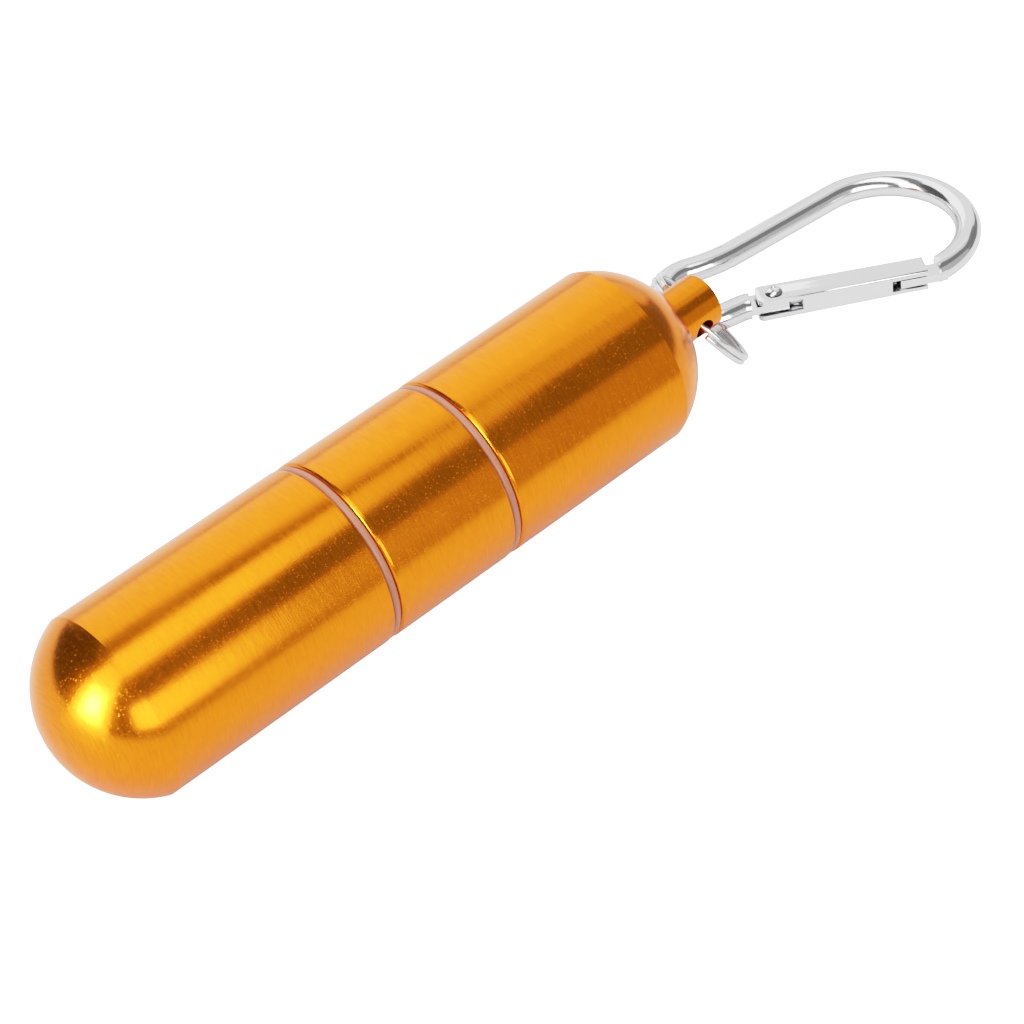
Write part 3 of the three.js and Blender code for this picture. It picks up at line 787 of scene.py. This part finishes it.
bm = bmesh.new()
rod_start = (Matrix.Rotation(nose_angle, 4, "Z") @ Matrix.Translation((WIDE_R * MM, 0, 0))
             @ Matrix.Rotation(math.pi / 2, 4, "X"))
bmesh.ops.create_circle(bm, cap_ends=True, radius=ROD_R * MM, segments=ROD_SIDES, matrix=rod_start)
rod_end = list(bm.verts) + list(bm.edges)
rod_end = bent(bm, rod_end, 0, 0, math.pi / 2 + spine_angle - nose_angle, steps=84)
rod_end = straight(bm, rod_end, spine_length, math.pi + spine_angle)
rod_end = bent(bm, rod_end, waist_x, waist_y, WAIST_ANGLE - spine_angle, steps=16)
rod_end = bent(bm, rod_end, lobe_x, lobe_y, math.pi - WAIST_ANGLE + NECK_ANGLE, steps=60)
rod_end = straight(bm, rod_end, NECK_RUN, NECK_ANGLE)
rod_end = bent(bm, rod_end, neck_x, GATE_Y - NECK_BEND_R, -NECK_ANGLE, steps=10)
rod_end = straight(bm, rod_end, HINGE_RUN, 0)
bmesh.ops.contextual_create(bm, geom=[v for v in rod_end if isinstance(v, bmesh.types.BMVert)])
rod = solid_object("rod", bm)

gate_inner, gate_outer = GATE_Y + GATE_WIDTH / 2, GATE_Y - GATE_WIDTH / 2
slot_inner = gate_inner - GATE_WEB
clear = 2 * ROD_R
milling = block_object(
    "milling",
    (NOSE_SHOULDER - 2 * clear, NOSE_SHOULDER),
    (GATE_Y - clear, GATE_Y + clear),
    2 * clear,
)
blade = block_object(
    "blade",
    (GATE_END - BLADE_REACH, NOSE_SHOULDER + BLADE_ROOT),
    (gate_outer + BLADE_INSET, slot_inner - SLOT_GAP),
    BLADE_T,
)
tongue = block_object(
    "tongue",
    (HINGE_SHOULDER - TONGUE_ROOT, RIVET_X + TONGUE_REACH),
    (gate_outer + TONGUE_INSET, gate_inner - TONGUE_INSET),
    BLADE_T,
)
bm = carved(rod, [
    ("DIFFERENCE", milling),
    ("UNION", blade),
    ("UNION", tongue),
    ("DIFFERENCE", pin_hole(4)),
])
softened(bm, CLIP_EDGE)
bmesh.ops.transform(bm, matrix=clip_place, verts=bm.verts)
piece(bm, "clip_rod", "clip_body", "clip_body", nickel, MILLED_CREASE)

# ---------------------------------------------------------------- clip gate
# A bar with chamfered long edges, slotted at both ends: one slot drops over the blade, the other
# takes the tongue. It is bored from the hinge slot for its spring.
HINGE_SLOT, NOSE_SLOT = 6.2, 5.1
GATE_CHAMFER, GATE_END_ROUND = 0.45, 0.8
SPRING_BORE_R, SPRING_BORE_DEPTH = 1.05, 9.5
CUT_OVERRUN = 1
slot_width = BLADE_T + 2 * SLOT_GAP
slot_floor = GATE_HINGE + HINGE_SLOT


def rounded_edges(bm, edges, size, segments):
    bmesh.ops.bevel(
        bm,
        geom=edges,
        offset=size * MM,
        offset_type="OFFSET",
        affect="EDGES",
        segments=segments,
        profile=0.5,
        material=-1,
    )


bm = bmesh.new()
block(bm, (GATE_HINGE, GATE_END), (gate_outer, gate_inner), GATE_THICKNESS)
hinge_end = [
    edge for edge in bm.edges
    if all(v.co.x < (GATE_HINGE + GATE_END) / 2 * MM for v in edge.verts)
    and abs(edge.verts[0].co.z - edge.verts[1].co.z) > GATE_THICKNESS / 2 * MM
]
rounded_edges(bm, hinge_end, GATE_END_ROUND, 6)
long_edges = [e for e in bm.edges if abs(e.verts[0].co.x - e.verts[1].co.x) > GATE_LENGTH / 2 * MM]
rounded_edges(bm, long_edges, GATE_CHAMFER, 4)
bar = solid_object("bar", bm)
hinge_slot = block_object(
    "hinge_slot",
    (GATE_HINGE - CUT_OVERRUN, slot_floor),
    (gate_outer - CUT_OVERRUN, gate_inner + CUT_OVERRUN),
    slot_width,
)
nose_slot = block_object(
    "nose_slot",
    (GATE_END - NOSE_SLOT, GATE_END + CUT_OVERRUN),
    (gate_outer - CUT_OVERRUN, slot_inner),
    slot_width,
)
bore_middle = Vector((slot_floor + (SPRING_BORE_DEPTH - CUT_OVERRUN) / 2, GATE_Y, 0)) * MM
bore_place = Matrix.Translation(bore_middle) @ Matrix.Rotation(math.pi / 2, 4, "Y")
spring_bore = drill_rod("spring_bore", SPRING_BORE_R, SPRING_BORE_DEPTH + CUT_OVERRUN, 32, bore_place)
bm = carved(bar, [
    ("DIFFERENCE", hinge_slot),
    ("DIFFERENCE", nose_slot),
    ("DIFFERENCE", spring_bore),
    ("DIFFERENCE", pin_hole(8)),
])
softened(bm, GATE_EDGE)
bmesh.ops.transform(bm, matrix=clip_place, verts=bm.verts)
piece(bm, "gate_bar", "clip_gate", "clip_gate", nickel, MILLED_CREASE)

# ---------------------------------------------------------------- gate rivet
# A plated rivet with a low domed head on each side, the upper one dimpled where it was set. It
# rides on the clip's tongue, and the gate turns on it.
RIVET_HEAD_R, RIVET_HEAD_H, RIVET_HEAD_GAP = 1.2, 0.55, 0.1
DIMPLE_RIM_R, DIMPLE_WALL_R, DIMPLE_FLOOR_R = 0.46, 0.42, 0.3
DIMPLE_WALL_DEPTH, DIMPLE_DEPTH = 0.17, 0.24
face = GATE_THICKNESS / 2 + RIVET_HEAD_GAP
head_top = face + RIVET_HEAD_H
dome_r = (RIVET_HEAD_R**2 + RIVET_HEAD_H**2) / (2 * RIVET_HEAD_H)
dome_half = math.degrees(math.asin(RIVET_HEAD_R / dome_r))
head = [(r, z) for z, r in arc(head_top - dome_r, 0, dome_r, dome_half, 0, 10)]


def spun_pin(bm, profile, steps):
    """Spins (radius, height) points about the Z axis, at the origin."""
    line = [bm.verts.new((r * MM, 0, z * MM)) for r, z in profile]
    edges = [bm.edges.new(pair) for pair in zip(line, line[1:])]
    bmesh.ops.spin(
        bm,
        geom=line + edges,
        cent=(0, 0, 0),
        axis=(0, 0, 1),
        angle=2 * math.pi,
        steps=steps,
        use_merge=True,
    )


upper = [point for point in head if point[0] > DIMPLE_RIM_R]
dimple_rim = head[len(upper)][1]
dimple = [(DIMPLE_WALL_R, dimple_rim), (DIMPLE_FLOOR_R, head_top - DIMPLE_WALL_DEPTH),
          (0, head_top - DIMPLE_DEPTH)]
lower = [(r, -z) for r, z in head][::-1]
lower[0] = (0, lower[0][1])
bm = bmesh.new()
spun_pin(bm, lower + [(RIVET_R, -face), (RIVET_R, face)] + upper + dimple, steps=40)
bmesh.ops.translate(bm, verts=bm.verts, vec=(RIVET_X * MM, GATE_Y * MM, 0))
bmesh.ops.transform(bm, matrix=clip_place, verts=bm.verts)
piece(bm, "set_rivet", "clip_body", "gate_rivet", nickel, sharp=45)

# ---------------------------------------------------------------- plunger and spring
# Inside the gate, a bright steel pin is pushed against the tongue's square end by a small coil of
# drawn spring wire, and that shuts the gate.
BORE_GAP, PLUNGER_GAP = 0.2, 0.15
PLUNGER_LENGTH, PLUNGER_TRAVEL = 3.2, 0.5
PLUNGER_NOSE_ROUND, PLUNGER_END_CHAMFER = 0.35, 0.1
SPRING_WIRE_R, SPRING_TURNS, SPRING_END_GAP = 0.16, 8, 0.1
SPRING_STEPS = 24 * SPRING_TURNS
steel = bright_plating("spring_steel", (0.5, 0.5, 0.52), 0.3)
lie_along = Matrix.Translation((0, GATE_Y * MM, 0)) @ Matrix.Rotation(math.pi / 2, 4, "Y")
plunger_r = SPRING_BORE_R - BORE_GAP
plunger_nose = RIVET_X + TONGUE_REACH + PLUNGER_GAP
plunger_end = plunger_nose + PLUNGER_LENGTH
nose_round = arc(plunger_nose + PLUNGER_NOSE_ROUND, plunger_r - PLUNGER_NOSE_ROUND,
                 PLUNGER_NOSE_ROUND, 180, 90, 5)
bm = bmesh.new()
spun_pin(bm, [
    (0, plunger_nose),
    *[(r, z) for z, r in nose_round],
    (plunger_r, plunger_end - PLUNGER_END_CHAMFER),
    (plunger_r - PLUNGER_END_CHAMFER, plunger_end),
    (0, plunger_end),
], steps=32)
bmesh.ops.transform(bm, matrix=clip_place @ lie_along, verts=bm.verts)
piece(bm, "plunger_pin", "gate_plunger", "gate_plunger", steel)

spring_from = plunger_end + SPRING_WIRE_R + SPRING_END_GAP
spring_to = slot_floor + SPRING_BORE_DEPTH - SPRING_WIRE_R - SPRING_END_GAP
coil_r = plunger_r - SPRING_WIRE_R
wire_start = (Matrix.Translation((coil_r * MM, 0, spring_from * MM))
              @ Matrix.Rotation(math.pi / 2, 4, "X"))
bm = bmesh.new()
bmesh.ops.create_circle(bm, cap_ends=True, radius=SPRING_WIRE_R * MM, segments=10, matrix=wire_start)
made = bmesh.ops.spin(
    bm,
    geom=list(bm.verts) + list(bm.edges),
    cent=(0, 0, 0),
    axis=(0, 0, 1),
    dvec=(0, 0, (spring_to - spring_from) * MM / SPRING_STEPS),
    angle=2 * math.pi * SPRING_TURNS,
    steps=SPRING_STEPS,
)
bmesh.ops.contextual_create(bm, geom=end_verts(made))
bmesh.ops.transform(bm, matrix=clip_place @ lie_along, verts=bm.verts)
spring = piece(bm, "coil_spring", "clip_gate", "gate_spring", steel)
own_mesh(spring)
